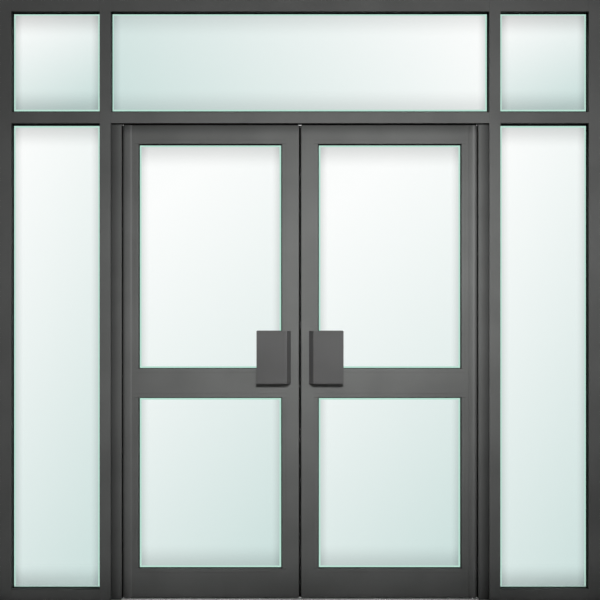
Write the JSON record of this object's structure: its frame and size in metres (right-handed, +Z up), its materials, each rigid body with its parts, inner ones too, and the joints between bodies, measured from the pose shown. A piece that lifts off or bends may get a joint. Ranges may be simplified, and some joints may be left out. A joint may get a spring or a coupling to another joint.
{
  "type": "aluminium shopfront door",
  "caption": "Glazed aluminium shopfront entrance: pivot-hung double doors with bent plate pulls between narrow sidelights, under a row of transom lights, on a flat threshold.",
  "frame": {"origin": "on the floor, midway between the doorway's sides and in the middle of the frame's depth", "axes": "+X to the right seen from the street, +Y into the building (the street side faces -Y), +Z up"},
  "size_m": [2.7, 0.154, 2.7],
  "materials": {
    "frame_coating": "satin dark grey powder coat on aluminium",
    "pull_coating": "satin dark grey powder coat on aluminium plate",
    "clear_glass": "clear toughened glass with a faint green tint",
    "black_rubber": "matt black",
    "threshold_aluminium": "satin mill aluminium",
    "pivot_steel": "satin"
  },
  "bodies": {
    "frame": {"frame_gaskets": "black_rubber", "head_center": "frame_coating", "head_left": "frame_coating", "head_right": "frame_coating", "left_door_jamb": "frame_coating", "left_jamb": "frame_coating", "left_mullion": "frame_coating", "left_pivots": "pivot_steel", "right_door_jamb": "frame_coating", "right_jamb": "frame_coating", "right_mullion": "frame_coating", "right_pivots": "pivot_steel", "sidelight_glass_left": "clear_glass", "sidelight_glass_right": "clear_glass", "sill_left": "frame_coating", "sill_right": "frame_coating", "threshold": "threshold_aluminium", "transom_center": "frame_coating", "transom_glass_center": "clear_glass", "transom_glass_left": "clear_glass", "transom_glass_right": "clear_glass", "transom_left": "frame_coating", "transom_right": "frame_coating"},
    "left_leaf": {"left_bottom_rail": "frame_coating", "left_glazing_beads": "frame_coating", "left_heel_stile": "frame_coating", "left_inner_pull": "pull_coating", "left_lower_glass": "clear_glass", "left_meeting_stile": "frame_coating", "left_mid_rail": "frame_coating", "left_outer_pull": "pull_coating", "left_seals": "black_rubber", "left_top_rail": "frame_coating", "left_upper_glass": "clear_glass"},
    "right_leaf": {"right_bottom_rail": "frame_coating", "right_glazing_beads": "frame_coating", "right_heel_stile": "frame_coating", "right_inner_pull": "pull_coating", "right_lower_glass": "clear_glass", "right_meeting_stile": "frame_coating", "right_mid_rail": "frame_coating", "right_outer_pull": "pull_coating", "right_seals": "black_rubber", "right_top_rail": "frame_coating", "right_upper_glass": "clear_glass"}
  },
  "joints": [
    {"name": "left_leaf_swing", "type": "hinge", "parent": "frame", "child": "left_leaf", "pos_m": [-0.773, 0, 0], "axis": [0, 0, 1], "range_deg": [-90, 90]},
    {"name": "right_leaf_swing", "type": "hinge", "parent": "frame", "child": "right_leaf", "pos_m": [0.773, 0, 0], "axis": [0, 0, -1], "range_deg": [-90, 90]}
  ]
}
